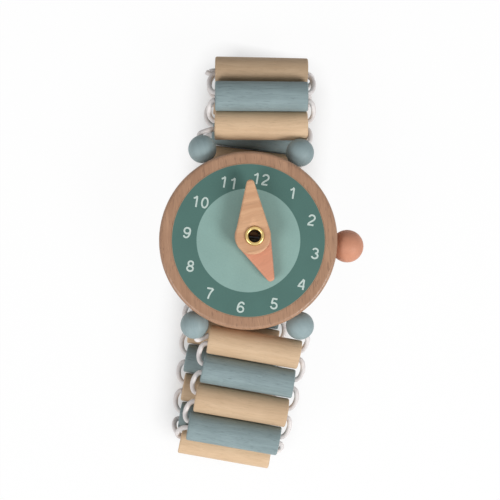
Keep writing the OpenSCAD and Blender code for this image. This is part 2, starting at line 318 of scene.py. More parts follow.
def tube_rings(path, radius, sides):
    """Rings square to a path: point + r (u cos a + v sin a), with u and v carried along without twist."""
    heading = np.gradient(path, axis=0)
    heading /= np.linalg.norm(heading, axis=1, keepdims=True)
    side = np.empty_like(path)
    side[0] = square_pair(heading[0])[0]
    for i in range(1, len(path)):
        side[i] = unit(side[i - 1] - heading[i] * (side[i - 1] @ heading[i]))
    up = np.cross(heading, side)
    angle = np.linspace(0, 2 * np.pi, sides, endpoint=False)[:, None]
    return path[:, None] + radius * (side[:, None] * np.cos(angle) + up[:, None] * np.sin(angle))


def tube_winding(path, sides):
    """For each corner of a tube's quads: millimetres along the path, and turns round it."""
    step = np.linalg.norm(np.diff(path, axis=0), axis=1)
    along = np.concatenate([[0], np.cumsum(step)]) / MM
    turn = np.arange(sides + 1) / sides
    u = np.broadcast_to(along[:, None], (len(path), sides + 1))
    v = np.broadcast_to(turn, (len(path), sides + 1))
    place = np.stack([u, v], axis=-1)
    return np.stack([place[:-1, :-1], place[:-1, 1:], place[1:, 1:], place[1:, :-1]], axis=2)


# Shader building
def linear(shown):
    """A screen colour as the linear values that a shader takes."""
    part = np.array(shown[:])
    value = np.where(part <= 0.04045, part / 12.92, ((part + 0.055) / 1.055) ** 2.4)
    return (*value.tolist(), 1.0)


def toned(shown, factor):
    """A screen colour made darker or lighter, as linear values."""
    return (*(min(1.0, part * factor) for part in linear(shown)[:3]), 1.0)


class Wiring:
    """Adds nodes to a tree and joins them."""

    def __init__(self, tree):
        self.tree = tree

    def place(self):
        """The object's coordinates."""
        return self.node("ShaderNodeTexCoord").outputs["Object"]

    def surface(self, shader, tone, roughness, normal=None):
        """Joins a finish's colour, roughness and relief to its shader."""
        self.join(tone, shader.inputs["Base Color"])
        self.join(roughness, shader.inputs["Roughness"])
        if normal is not None:
            self.join(normal, shader.inputs["Normal"])

    def grey(self, value):
        """A grey of a given level."""
        made = self.node("ShaderNodeCombineColor")
        for part in made.inputs:
            self.join(value, part)
        return made.outputs[0]

    def node(self, kind, **settings):
        """A new node with its settings."""
        made = self.tree.nodes.new(kind)
        for name, value in settings.items():
            setattr(made, name, value)
        return made

    def join(self, source, target):
        """Joins an output to an input, or sets the input to a plain value."""
        if isinstance(source, bpy.types.NodeSocket):
            self.tree.links.new(source, target)
        else:
            target.default_value = source

    def math(self, operation, first, second=0.0, clamp=False):
        """A Math node's result."""
        made = self.node("ShaderNodeMath", operation=operation, use_clamp=clamp)
        self.join(first, made.inputs[0])
        self.join(second, made.inputs[1])
        return made.outputs[0]

    def remap(self, value, low, high, to_low=0.0, to_high=1.0, smooth=False):
        """A value carried from one range to another."""
        made = self.node("ShaderNodeMapRange", interpolation_type="SMOOTHSTEP" if smooth else "LINEAR")
        for name, source in zip(
                ("Value", "From Min", "From Max", "To Min", "To Max"), (value, low, high, to_low, to_high)):
            self.join(source, made.inputs[name])
        return made.outputs["Result"]

    def noise(self, vector, scale, detail=2.0, roughness=0.5):
        """A noise texture's value."""
        made = self.node("ShaderNodeTexNoise")
        self.join(vector, made.inputs["Vector"])
        self.join(scale, made.inputs["Scale"])
        self.join(detail, made.inputs["Detail"])
        self.join(roughness, made.inputs["Roughness"])
        return made.outputs["Fac"]

    def stretch(self, vector, scale, turn=(0, 0, 0), shift=(0, 0, 0)):
        """A vector moved, turned and stretched."""
        made = self.node("ShaderNodeMapping", vector_type="POINT")
        self.join(vector, made.inputs["Vector"])
        self.join(shift, made.inputs["Location"])
        self.join(turn, made.inputs["Rotation"])
        self.join(scale, made.inputs["Scale"])
        return made.outputs["Vector"]

    def blend(self, share, first, second, mode="MIX"):
        """Two colours mixed."""
        made = self.node("ShaderNodeMix", data_type="RGBA", blend_type=mode)
        self.join(share, made.inputs[0])
        self.join(first, made.inputs[6])
        self.join(second, made.inputs[7])
        return made.outputs[2]

    def bump(self, height, distance, strength=1.0):
        """A normal bent by a height."""
        made = self.node("ShaderNodeBump")
        self.join(height, made.inputs["Height"])
        self.join(distance, made.inputs["Distance"])
        self.join(strength, made.inputs["Strength"])
        return made.outputs["Normal"]

    def group(self, tree, **inputs):
        """A node group placed with its own values."""
        made = self.node("ShaderNodeGroup", node_tree=tree)
        for name, source in inputs.items():
            self.join(source, made.inputs[name.replace("_", " ").title()])
        return made.outputs


def new_material(name):
    """A material with its Principled shader, and the wiring of its tree."""
    material = bpy.data.materials.new(name)
    material.use_nodes = True
    wiring = Wiring(material.node_tree)
    shader = next(node for node in material.node_tree.nodes if node.type == "BSDF_PRINCIPLED")
    return material, wiring, shader


def new_group(name, inputs, outputs):
    """An empty node group with named inputs (name, socket type, default) and outputs that are values."""
    tree = bpy.data.node_groups.new(name, "ShaderNodeTree")
    for label, kind, default in inputs:
        socket = tree.interface.new_socket(label, in_out="INPUT", socket_type=kind)
        if default is not None:
            socket.default_value = default
    for label in outputs:
        tree.interface.new_socket(label, in_out="OUTPUT", socket_type="NodeSocketFloat")
    wiring = Wiring(tree)
    return wiring, wiring.node("NodeGroupInput").outputs, wiring.node("NodeGroupOutput").inputs


def wood_grain():
    """Wood with its fibres along x, in millimetres.

    Streaks are long bands of tone, fibres are fine lines, flecks are short dashes, and mottle is broad
    unevenness. Each is noise that is stretched along the fibres.
    """
    wiring, given, result = new_group(
        "Wood Grain",
        [("Vector", "NodeSocketVector", None),
         ("Streak Scale", "NodeSocketFloat", 0.9),
         ("Fibre Scale", "NodeSocketFloat", 5.0),
         ("Fleck Scale", "NodeSocketFloat", 2.6)],
        ("Streak", "Fibre", "Fleck", "Mottle", "Height"))
    wander = wiring.noise(wiring.stretch(given["Vector"], (0.11, 0.25, 0.25)), 1.0, 1.0)
    bent = wiring.node("ShaderNodeVectorMath", operation="ADD")
    sideways = wiring.node("ShaderNodeCombineXYZ")
    wiring.join(wiring.math("MULTIPLY", wander, 1.6), sideways.inputs["Y"])
    wiring.join(wiring.math("MULTIPLY", wander, -1.1), sideways.inputs["Z"])
    wiring.join(given["Vector"], bent.inputs[0])
    wiring.join(sideways.outputs[0], bent.inputs[1])
    course = bent.outputs[0]
    streak = wiring.noise(wiring.stretch(course, (0.045, 1, 1)), given["Streak Scale"], 3.0, 0.55)
    fibre = wiring.noise(wiring.stretch(course, (0.03, 1, 1)), given["Fibre Scale"], 3.0, 0.65)
    fleck = wiring.noise(wiring.stretch(course, (0.16, 1, 1)), given["Fleck Scale"], 1.0, 0.4)
    mottle = wiring.noise(given["Vector"], 0.16, 2.0)
    streak = wiring.remap(streak, 0.32, 0.68)
    fibre = wiring.remap(fibre, 0.33, 0.67)
    fleck = wiring.remap(fleck, 0.6, 0.72, smooth=True)
    mottle = wiring.remap(mottle, 0.3, 0.7)
    height = wiring.math("SUBTRACT", fibre, wiring.math("MULTIPLY", fleck, 0.5))
    for value, socket in zip((streak, fibre, fleck, mottle, height), result):
        wiring.join(value, socket)


def wood_finish(name, tones, grain_vector, streak, fibre, fleck, depth, roughness, scales=(0.9, 5.0, 2.6)):
    """A wood finish: two tones by streak and mottle, then darker fibres and flecks, with fine relief.

    grain_vector places the grain: None reads the piece's own grain, and a turn in degrees about z
    reads the object's coordinates.
    """
    material, wiring, shader = new_material(name)
    light, dark = tones
    if grain_vector is None:
        vector = wiring.node("ShaderNodeAttribute", attribute_name="grain").outputs["Vector"]
    else:
        vector = wiring.stretch(wiring.place(), (1 / MM,) * 3, (0, 0, math.radians(grain_vector)))
    grain = wiring.group(
        bpy.data.node_groups["Wood Grain"], vector=vector,
        streak_scale=scales[0], fibre_scale=scales[1], fleck_scale=scales[2])
    share = wiring.math("ADD", wiring.math("MULTIPLY", grain["Streak"], streak),
                        wiring.math("MULTIPLY", grain["Mottle"], MOTTLE_SHARE), clamp=True)
    tone = wiring.blend(share, linear(light), linear(dark))
    deep = toned(dark, DEEP_TONE)
    tone = wiring.blend(wiring.math("MULTIPLY", grain["Fibre"], fibre), tone, deep)
    tone = wiring.blend(wiring.math("MULTIPLY", grain["Fleck"], fleck), tone, deep)
    if grain_vector is None:
        # The piece's shade value scales its colour: its own tone, and painted shade where it is low on
        # dowel 3
        shade = wiring.node("ShaderNodeAttribute", attribute_name="shade").outputs["Fac"]
        tone = wiring.blend(1.0, tone, wiring.grey(shade), "MULTIPLY")
    shine = wiring.remap(grain["Fibre"], 0, 1, roughness - 0.06, roughness + 0.08)
    wiring.surface(shader, tone, shine, wiring.bump(grain["Height"], depth))
    shader.inputs["Specular IOR Level"].default_value = 0.35
    return material


def brass_finish(colours):
    """Brass with fine rubbing marks that soften its shine."""
    _, wiring, shader = new_material("Brass")
    objects = wiring.place()
    rub = wiring.noise(wiring.stretch(objects, (900, 900, 4000)), 1.0, 3.0)
    tarnish = wiring.noise(objects, 420.0, 2.0)
    worn = toned(colours.brass, 0.72)
    tone = wiring.blend(wiring.remap(tarnish, 0.45, 0.75), linear(colours.brass), worn)
    wiring.surface(shader, tone, wiring.remap(rub, 0.3, 0.7, 0.16, 0.34), wiring.bump(rub, 0.004 * MM))
    shader.inputs["Metallic"].default_value = 1.0


def elastic_finish(colours):
    """Braided elastic: two sets of diagonal threads cross, on a soft white cord."""
    _, wiring, shader = new_material("Elastic")
    place = wiring.node("ShaderNodeUVMap", uv_map="winding").outputs["UV"]
    parts = wiring.node("ShaderNodeSeparateXYZ")
    wiring.join(place, parts.inputs[0])
    along = wiring.math("MULTIPLY", parts.outputs["X"], 2 * math.pi * 1.6)
    round_it = wiring.math("MULTIPLY", parts.outputs["Y"], 2 * math.pi * 8)
    right = wiring.math("SINE", wiring.math("ADD", along, round_it))
    left = wiring.math("SINE", wiring.math("SUBTRACT", along, round_it))
    threads = wiring.remap(wiring.math("MULTIPLY", right, left), -1, 1)
    objects = wiring.place()
    handled = wiring.remap(wiring.noise(objects, 160.0, 2.0), 0.35, 0.7)
    # A darker cord colour, used for dirt from handling and for painted shade in the braid's grooves
    grime_and_weave_shade = toned(colours.elastic, 0.8)
    tone = wiring.blend(wiring.math("MULTIPLY", handled, 0.5), linear(colours.elastic), grime_and_weave_shade)
    # The grooves between threads drawn darker: painted shade
    tone = wiring.blend(wiring.remap(threads, 0.5, 0, 0, 0.22), tone, grime_and_weave_shade)
    wiring.surface(shader, tone, wiring.remap(threads, 0, 1, 0.62, 0.5), wiring.bump(threads, 0.025 * MM))
    shader.inputs["Sheen Weight"].default_value = 0.15


def fibre_finish(colours):
    """Pressed fibre: fine specks on a matt board."""
    _, wiring, shader = new_material("Fibre")
    objects = wiring.place()
    specks = wiring.noise(objects, 5200.0, 3.0)
    pale = toned(colours.fibre, 1.25)
    tone = wiring.blend(wiring.remap(specks, 0.35, 0.7), linear(colours.fibre), pale)
    wiring.surface(shader, tone, wiring.remap(specks, 0.3, 0.7, 0.7, 0.9), wiring.bump(specks, 0.01 * MM))


def dial_finish(sizes, colours):
    """Printed card: a dark ring round a pale disc, split by the distance from the dial's middle."""
    _, wiring, shader = new_material("Dial Print")
    objects = wiring.place()
    centred = wiring.stretch(objects, (1, 1, 0), shift=(-DIAL_MIDDLE[0], -DIAL_MIDDLE[1], 0))
    reach = wiring.node("ShaderNodeVectorMath", operation="LENGTH")
    wiring.join(centred, reach.inputs[0])
    bleed = wiring.math("MULTIPLY", wiring.noise(objects, 3000.0, 2.0), 0.06 * MM)
    edge = wiring.math("ADD", reach.outputs["Value"], bleed)
    ring = wiring.remap(edge, sizes.pale_disc - 0.03 * MM, sizes.pale_disc + 0.07 * MM, smooth=True)
    tone = wiring.blend(ring, linear(colours.dial_disc), linear(colours.dial_ring))
    bare = wiring.remap(edge, sizes.print_edge - 0.06 * MM, sizes.print_edge + 0.12 * MM, smooth=True)
    tone = wiring.blend(bare, tone, linear(colours.case_light))
    paper = wiring.noise(objects, 2600.0, 4.0, 0.7)
    uneven = wiring.noise(objects, 130.0, 2.0)
    shade = wiring.math("ADD", wiring.remap(paper, 0.3, 0.7, -0.05, 0.05),
                        wiring.remap(uneven, 0.3, 0.7, 0.95, 1.05))
    tone = wiring.blend(1.0, tone, wiring.grey(shade), "MULTIPLY")
    wiring.surface(shader, tone, wiring.remap(paper, 0.3, 0.7, 0.5, 0.66), wiring.bump(paper, 0.012 * MM))
    shader.inputs["Specular IOR Level"].default_value = 0.3


def ink_finish(colours):
    """Screen-printed ink, slightly uneven."""
    _, wiring, shader = new_material("Number Ink")
    objects = wiring.place()
    cover = wiring.noise(objects, 2400.0, 3.0)
    thin = toned(colours.number_ink, 0.82)
    tone = wiring.blend(wiring.remap(cover, 0.4, 0.75), linear(colours.number_ink), thin)
    wiring.surface(shader, tone, wiring.remap(cover, 0.3, 0.7, 0.45, 0.6))


def make_finishes(sizes, colours):
    """Every finish of the watch, by name."""
    wood_grain()
    natural = (colours.natural_light, colours.natural_dark)
    stain = (colours.stain_light, colours.stain_dark)
    coral = (colours.coral_light, colours.coral_dark)
    wood_finish("Natural Dowel", natural, None, 0.45, 0.2, 0.2, 0.03 * MM, 0.6, (1.1, 6.0, 4.2))
    wood_finish("Stained Dowel", stain, None, 0.5, 0.3, 0.34, 0.04 * MM, 0.62, (1.1, 6.0, 4.2))
    wood_finish("Stained Bead", stain, None, 0.3, 0.08, 0.06, 0.01 * MM, 0.55)
    wood_finish("Coral Crown", coral, None, 0.4, 0.12, 0.1, 0.015 * MM, 0.5)
    wood_finish("Coral Hand", coral, None, 0.6, 0.18, 0.15, 0.02 * MM, 0.55, (0.5, 3.0, 2.0))
    wood_finish("Natural Hand", (colours.hand_light, colours.hand_dark), None, 0.95, 0.3, 0.15,
                0.03 * MM, 0.5, (0.55, 2.6, 2.0))
    case = wood_finish("Case Wood", (colours.case_light, colours.case_dark), 84.0, 0.55, 0.34, 0.55,
                       0.03 * MM, 0.42, (0.7, 4.0, 3.2))
    varnish = case.node_tree.nodes["Principled BSDF"].inputs
    varnish["Coat Weight"].default_value = 0.4
    varnish["Coat Roughness"].default_value = 0.22
    brass_finish(colours)
    elastic_finish(colours)
    fibre_finish(colours)
    dial_finish(sizes, colours)
    ink_finish(colours)


def finish(name):
    """A finish that has been made."""
    return bpy.data.materials[name]


def dress(node, name):
    """Gives a node of the frame a finish in each of its slots."""
    for place in frame["nodes"][node].material_slots:
        place.material = finish(name)


# Dowels and beads
def dowel_profile(length, width, edge, bore):
    """Half section of a bored dowel: end face, rounded edge, wall, and back along the bore."""
    half, radius = length / 2, width / 2
    return np.concatenate([
        line((-half, bore), (-half, radius - edge), 3),
        arc((-half + edge, radius - edge), edge, 180, 90, 6),
        line((-half + edge, radius), (half - edge, radius), 12)[1:],
        arc((half - edge, radius - edge), edge, 90, 0, 6),
        line((half, radius - edge), (half, bore), 3)[1:],
        line((half, bore), (-half, bore), 4)])


def uneven_dowel(local, seed, length, width):
    """Hand-sawn unevenness: the round swells by a few hundredths, and each end is cut slightly askew."""
    turn = np.arctan2(local[..., 2], local[..., 1])
    phase = seed * GOLDEN_TURN
    share = local[..., 0] / (length / 2)
    swell = DOWEL_SWELL * (np.sin(2 * turn + phase) + np.sin(2 * share + 2 * phase))
    reach = np.hypot(local[..., 1], local[..., 2]) / (width / 2)
    local[..., 1:] *= (1 + swell * reach)[..., None]
    local[..., 0] += share * SAW_SKEW * (local[..., 1] * np.cos(phase) + local[..., 2] * np.sin(phase))
    return local


def bead_profile(width, bore):
    """Half section of a bored ball: its round from hole to hole, and back along the bore."""
    radius = width / 2
    edge = math.degrees(math.asin(bore / radius)) + 2
    reach = radius * math.cos(math.radians(edge))
    return np.concatenate([
        arc((0, 0), radius, 180 - edge, edge, 40),
        line((reach - 0.05 * MM, bore), (-reach + 0.05 * MM, bore), 6)])


# Elastic
def next_dowel(k):
    """The strap hangs as two chains: the upper one counts up and the lower one counts down."""
    return k + 1 if k <= UPPER_COUNT else k - 1


def before_dowel(k):
    """The dowel before dowel k in its chain, or None beside the case."""
    if k in (1, COUNT):
        return None
    return k - 1 if k <= UPPER_COUNT else k + 1


def square_to(vector, axis):
    """The part of a vector that is square to an axis, at length one."""
    return unit(vector - axis * (vector @ axis))


def lug_middle(k):
    """Middle between the two beads beside the first or the last dowel."""
    pair = BEADS[:2] if k == 1 else BEADS[2:]
    return np.mean([HINGES[f"{bead}_spin"]["pos_m"] for bead in pair], axis=0)


def way_on(k):
    """Direction from a dowel to the next one."""
    return square_to(dowel_at(next_dowel(k)) - dowel_at(k), dowel_axis(k))


def way_back(k):
    """Direction from a dowel to the one before it, or to the lugs."""
    before = before_dowel(k)
    behind = lug_middle(k) if before is None else dowel_at(before)
    return square_to(behind - dowel_at(k), dowel_axis(k))


def mouth(k, side, way, sizes, out=0.0):
    """Where a strand leaves a dowel: at one end, beside the next dowel."""
    return dowel_at(k) + side * (DOWEL_LENGTH / 2 + out) * dowel_axis(k) + sizes.strand_offset * way


def arch(start, stop, rise, steps):
    """Half an ellipse from start to stop: start + (stop - start)(1 - cos t)/2 + rise sin t."""
    t = np.linspace(0, np.pi, steps)[:, None]
    return start + (stop - start) * (1 - np.cos(t)) / 2 + rise * np.sin(t)


def bezier(start, first, second, stop, steps):
    """A cubic curve from start to stop, pulled by two handles."""
    t = np.linspace(0, 1, steps)[:, None]
    s = 1 - t
    return s ** 3 * start + 3 * s * s * t * first + 3 * s * t * t * second + t ** 3 * stop


def strand_path(k, side, sizes):
    """One strand: in at a mouth, across the dowel's bore, out at the other end and on to the next dowel."""
    axis = dowel_axis(k)
    out = side * axis
    on, back = way_on(k), way_back(k)
    level = unit(np.cross(axis, on - back))
    pull = STRAND_HANDLE * out
    start = mouth(k, -side, back, sizes, -MOUTH_INSET)
    centre = dowel_at(k) + side * sizes.strand_offset * level
    leave = mouth(k, side, on, sizes)
    inside = np.concatenate([
        bezier(start, start + pull, centre - pull, centre, STRAND_STEPS)[:-1],
        bezier(centre, centre + pull, leave - pull, leave, STRAND_STEPS)])
    if k == UPPER_COUNT + 1:
        return inside
    slack = 1.0 if k <= UPPER_COUNT else 1 - LOOP_SLACK * side * fold_share(k)
    loop = arch(leave, mouth(next_dowel(k), side, -on, sizes), slack * sizes.loop_rise * out, LOOP_STEPS)
    return np.concatenate([inside[:-1], loop])


def lead_path(bead, k, side, around, sizes):
    """The elastic from its socket in the case, through a bead, to the first dowel's mouth."""
    spin = HINGES[f"{bead}_spin"]
    centre, way = np.array(spin["pos_m"]), unit(np.array(spin["axis"]))
    inner = centre - (BEAD_WIDTH / 2 + sizes.socket_depth) * way
    outer = centre + BEAD_WIDTH / 2 * way
    back = way_back(k)
    end = mouth(k, side, back, sizes)
    aim = unit(side * dowel_axis(k) - around * back)
    turn = bezier(outer, outer + sizes.lead_handle * way, end + sizes.lead_handle * aim, end, LEAD_STEPS)
    return np.concatenate([line(inner, outer, 6), turn])


def cord_piece(name, path, body, thickness):
    """A round cord along a path, cut square at its ends."""
    rings = tube_rings(path, thickness / 2, CORD_SIDES)
    winding = tube_winding(path, CORD_SIDES)
    return piece_from_grid(name, rings, "capped", body, finish("Elastic"), winding=winding)


# Hands
def hand_outline(reach, width, tip, tail, corner):
    """Outline of a hand along +x: a round tail, straight sides, and a blunt tip with round corners."""
    radius = width / 2
    lean = math.degrees(math.asin((radius - tip / 2) / (reach + tail)))
    spread = np.radians(np.linspace(90 - lean, 270 + lean, 48))
    round_tail = np.stack([radius * np.cos(spread) - tail, radius * np.sin(spread)], axis=-1)
    low = arc((reach - corner, -tip / 2 + corner), corner, lean - 90, 0, 9)
    high = arc((reach - corner, tip / 2 - corner), corner, 0, 90 - lean, 9)
    side_low = line(round_tail[-1], low[0], 14)[1:]
    side_high = line(high[-1], round_tail[0], 14)[1:]
    return np.concatenate([round_tail, side_low, low, high, side_high])


def hand_grid(outline, hole, low, high, edge):
    """A slab with rounded edges round a hole: its section runs over the top, down the side and back below.

    Each row is the outline drawn in by an inset, or a step between that and the hole, at one height.
    """
    ahead = np.roll(outline, -1, axis=0) - np.roll(outline, 1, axis=0)
    inward = np.stack([-ahead[:, 1], ahead[:, 0]], axis=-1)
    inward /= np.linalg.norm(inward, axis=1, keepdims=True)
    hub = hole * outline / np.linalg.norm(outline, axis=1, keepdims=True)
    face = [hub * (1 - s) + (outline + inward * edge) * s for s in np.linspace(0, 1, 5)[:-1]]
    bend = np.radians(np.linspace(0, 90, 6))
    round_edge = [outline + inward * edge * (1 - math.sin(a)) for a in bend]
    drop = edge * (1 - np.cos(bend))
    top = [*zip(face, [high] * len(face)), *zip(round_edge, high - drop)]
    below = [*zip(face, [low] * len(face)), *zip(round_edge, low + drop)]
    rows = top + below[::-1]
    return np.stack([np.column_stack([flat, np.full(len(flat), z)]) for flat, z in rows])


def hand_angle(node):
    """Direction of a hand at rest, in degrees: from the pivot to the point of its mesh farthest out."""
    count = len(frame["nodes"][node].data.vertices)
    points = np.empty(count * 3, dtype=np.float32)
    frame["nodes"][node].data.vertices.foreach_get("co", points)
    flat = points.reshape(-1, 3)[:, :2]
    reach = np.linalg.norm(flat, axis=1)
    tip = flat[reach > reach.max() - 0.05 * MM].mean(axis=0)
    return math.degrees(math.atan2(tip[1], tip[0]))


# Numbers
def oval(centre, wide, tall, start, stop, steps=24):
    """Points on an oval, with angles in degrees from the right."""
    angle = np.radians(np.linspace(start, stop, steps))
    return np.stack([centre[0] + wide * np.cos(angle), centre[1] + tall * np.sin(angle)], axis=-1)


def curve(*corners, steps=16):
    """A curve through the plane, pulled by two handles."""
    return bezier(*(np.array(corner, dtype=float) for corner in corners), steps)


def digit_strokes(digit):
    """Centre lines of a plain digit whose height is 1, drawn with bars, ovals and curves."""
    if digit == 0:
        return [oval((0.335, 0.5), 0.245, 0.435, 0, 360, 40)]
    if digit == 1:
        return [line((0.46, 0), (0.46, 1.04), 8),
                curve((0.455, 0.985), (0.4, 0.87), (0.3, 0.79), (0.17, 0.745))]
    if digit == 2:
        top = oval((0.34, 0.7), 0.24, 0.235, 172, -12)
        fall = curve(top[-1], (0.56, 0.46), (0.13, 0.32), (0.09, 0.065))
        return [np.concatenate([top[:-1], fall]), line((0.03, 0.065), (0.66, 0.065), 6)]
    if digit == 3:
        return [oval((0.32, 0.725), 0.215, 0.21, 165, -90),
                oval((0.32, 0.29), 0.255, 0.225, 90, -165)]
    if digit == 4:
        return [line((0.5, 0), (0.5, 1.04), 8),
                line((0.47, 0.95), (0.06, 0.3), 8),
                line((0.02, 0.29), (0.72, 0.29), 6)]
    if digit == 5:
        return [line((0.16, 0.93), (0.64, 0.93), 6),
                line((0.19, 0.96), (0.11, 0.44), 6),
                oval((0.335, 0.32), 0.255, 0.255, 148, -165, 32)]
    if digit == 6:
        back = curve((0.58, 0.76), (0.53, 1.02), (0.07, 1.05), (0.095, 0.32))
        return [back, oval((0.345, 0.315), 0.25, 0.25, 0, 360, 36)]
    if digit == 7:
        return [line((0.05, 0.93), (0.66, 0.93), 6),
                curve((0.6, 0.92), (0.4, 0.68), (0.27, 0.35), (0.25, 0))]
    if digit == 8:
        return [oval((0.335, 0.73), 0.205, 0.205, 0, 360, 36),
                oval((0.335, 0.285), 0.25, 0.22, 0, 360, 36)]
    return [np.array([0.68, 1.0]) - path for path in digit_strokes(6)]


# Operators
class WATCH_OT_case(bpy.types.Operator):
    """Give the case, the washers and the dial card their finishes"""

    bl_idname = "watch.case"
    bl_label = "Case"

    def execute(self, context):
        dress("case", "Case Wood")
        dress("dial", "Dial Print")
        for washer in ("spacer_washer", "hand_washer"):
            dress(washer, "Fibre")
        dress("back_washer", "Brass")
        return {"FINISHED"}


class WATCH_OT_numbers(bpy.types.Operator):
    """Print the numbers on the dial"""

    bl_idname = "watch.numbers"
    bl_label = "Dial numbers"

    ring_middle = (-0.6 * MM, -1.45 * MM)
    print_turn = -6.7
    ink_height = 0.015 * MM
    ink_lift = 0.005 * MM
    stroke_weight = 0.15
    digit_step = 0.82
    digit_stretch = 1.05

    def stroke(self, path, weight):
        """A flat bar along a path: four corners at each point, to both sides, above and below."""
        heading = np.gradient(path, axis=0)
        heading /= np.linalg.norm(heading, axis=1, keepdims=True)
        aside = np.column_stack([-heading[:, 1], heading[:, 0]]) * weight / 2
        low, high = np.full(len(path), -self.ink_height / 2), np.full(len(path), self.ink_height / 2)
        corners = [np.column_stack([path + way * aside, z])
                   for way, z in ((-1, low), (1, low), (1, high), (-1, high))]
        return np.stack(corners, axis=1)

    def number_mesh(self, number, height):
        """One number from its digits' strokes, centred. Where strokes cross, the later one lies on top."""
        grids = []
        for place, digit in enumerate(str(number)):
            for layer, path in enumerate(digit_strokes(int(digit))):
                path = (path + np.array([place * self.digit_step, 0.0])) * height
                path[:, 0] *= self.digit_stretch
                grid = self.stroke(path, self.stroke_weight * height)
                grids.append(grid + np.array([0, 0, layer * self.ink_height / 4]))
        points = np.concatenate([grid.reshape(-1, 3) for grid in grids])
        middle_of = (points.min(axis=0) + points.max(axis=0)) / 2
        faces, count = [], 0
        for grid in grids:
            index = count + np.arange(grid.shape[0] * 4).reshape(-1, 4)
            beside = np.roll(index, -1, axis=1)
            sides = np.stack([index[:-1], index[1:], beside[1:], beside[:-1]], axis=-1)
            faces += sides.reshape(-1, 4).tolist()
            faces += [index[0].tolist(), index[-1][::-1].tolist()]
            count += index.size
        return points - middle_of, faces

    def execute(self, context):
        sizes = context.scene.watch_sizes
        points, faces, count = [], [], 0
        for number in range(1, 13):
            shape, sides = self.number_mesh(number, sizes.digit_height)
            place = math.radians(self.print_turn + 90 - 30 * number)
            centre = np.array([*self.ring_middle, DIAL_FACE + self.ink_height / 2 + self.ink_lift])
            centre[:2] += sizes.number_ring * np.array([math.cos(place), math.sin(place)])
            points.append(shape @ level_turn(self.print_turn) + centre)
            faces += [[corner + count for corner in side] for side in sides]
            count += len(shape)
        mesh = bpy.data.meshes.new("dial_numbers")
        mesh.from_pydata(np.concatenate(points), [], faces)
        mesh.materials.append(finish("Number Ink"))
        piece = placed("dial_numbers", mesh)
        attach(piece, "case")
        return {"FINISHED"}


class WATCH_OT_hands(bpy.types.Operator):
    """Cut the two hands with rounded edges"""

    bl_idname = "watch.hands"
    bl_label = "Hands"

    grain_turn = 80
    corner_share = 0.45

    def execute(self, context):
        sizes = context.scene.watch_sizes
        for seed, (node, reach, slip, name, slot, shade) in enumerate((
                ("hour_hand", sizes.hour_reach, -1, "Coral Hand", "coral_hand_wood", 1.06),
                ("minute_hand", sizes.minute_reach, 1, "Natural Hand", "hand_wood", 1.03))):
            low, high = (float(corner[2]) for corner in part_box(node))
            corner = sizes.hand_tip * self.corner_share
            outline = hand_outline(reach, sizes.hand_width, sizes.hand_tip, sizes.hand_tail, corner)
            outline[:, 1] += slip * sizes.hand_slip * (1 - outline[:, 0] / reach)
            points = hand_grid(outline, sizes.hand_hole, low, high, sizes.hand_edge)
            grain = wood_place(points @ level_turn(self.grain_turn), seed + 30)
            points = points @ level_turn(hand_angle(node))
            piece = piece_from_grid(
                f"{node}_cut", points, "joined", node, finish(name), grain=grain, shade=shade)
            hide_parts(node)
        return {"FINISHED"}


class WATCH_OT_eyelet(bpy.types.Operator):
    """Roll the brass eyelet that carries the hands"""

    bl_idname = "watch.eyelet"
    bl_label = "Eyelet"

    lift = 0.5 * MM
    turn_steps = 72

    def execute(self, context):
        sizes = context.scene.watch_sizes
        low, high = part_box("eyelet")
        bottom, top = float(low[2]), float(high[2])
        bore, tube = sizes.eyelet_bore, sizes.eyelet_bore + sizes.eyelet_wall
        roll = (float(high[0]) - sizes.rim_inset - bore) / 2
        lift = self.lift
        bend = np.radians(np.linspace(90, -90, 13))
        over = np.column_stack([top - lift + lift * np.cos(bend), bore + roll + roll * np.sin(bend)])
        under = over[::-1].copy()
        under[:, 0] = bottom + top - under[:, 0]
        profile = np.concatenate([
            line((top - lift, tube), over[0], 3),
            over,
            line((top - lift, bore), (bottom + lift, bore), 10)[1:],
            under,
            line(under[-1], (bottom + lift, tube), 3)[1:],
            line((bottom + lift, tube), (top - lift, tube), 10)])
        points = set_on_axis(turn_profile(profile, self.turn_steps), np.zeros(3), np.array([0.0, 0.0, 1.0]))
        piece = piece_from_grid("eyelet_rolled", points, "joined", "case", finish("Brass"))
        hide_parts("eyelet")
        return {"FINISHED"}


class WATCH_OT_beads(bpy.types.Operator):
    """Turn the lug beads and the ball crown"""

    bl_idname = "watch.beads"
    bl_label = "Beads and crown"

    bead_shades = (1.0, 0.88, 0.95, 0.95)
    crown_shade = 0.92
    crown_growth = 0.1 * MM
    crown_drop = 0.2 * MM
    crown_steps = 64
    peg = 1.5 * MM
    peg_centre = 0.02 * MM

    def execute(self, context):
        sizes = context.scene.watch_sizes
        for seed, bead in enumerate(BEADS):
            spin = HINGES[f"{bead}_spin"]
            local = turn_profile(bead_profile(BEAD_WIDTH, sizes.bead_bore), TURN_STEPS)
            points = set_on_axis(local, np.array(spin["pos_m"]), unit(np.array(spin["axis"])))
            piece = piece_from_grid(
                f"{bead}_turned", points, "joined", bead, finish("Stained Bead"),
                grain=wood_place(local, seed + 40), shade=self.bead_shades[seed])
            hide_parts(bead)
        radius = CROWN_WIDTH / 2 + self.crown_growth
        centre = middle("crown") - np.array([0, self.crown_drop, 0])
        centre[0] = float(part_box("crown")[1][0]) - CROWN_WIDTH / 2
        peg_end = float(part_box("crown")[0][0]) - centre[0]
        shoulder = 180 - math.degrees(math.asin(self.peg / radius))
        profile = np.concatenate([
            line((peg_end, self.peg_centre), (peg_end, self.peg), 3),
            line((peg_end, self.peg), (radius * math.cos(math.radians(shoulder)), self.peg), 5),
            arc((0, 0), radius, shoulder, 0.5, 40)])
        local = turn_profile(profile, self.crown_steps)
        points = set_on_axis(local, centre, np.array([1.0, 0.0, 0.0]))
        piece = piece_from_grid(
            "crown_turned", points, "capped", "case", finish("Coral Crown"),
            grain=wood_place(local[..., ::-1], 50), shade=self.crown_shade)
        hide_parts("crown")
        return {"FINISHED"}


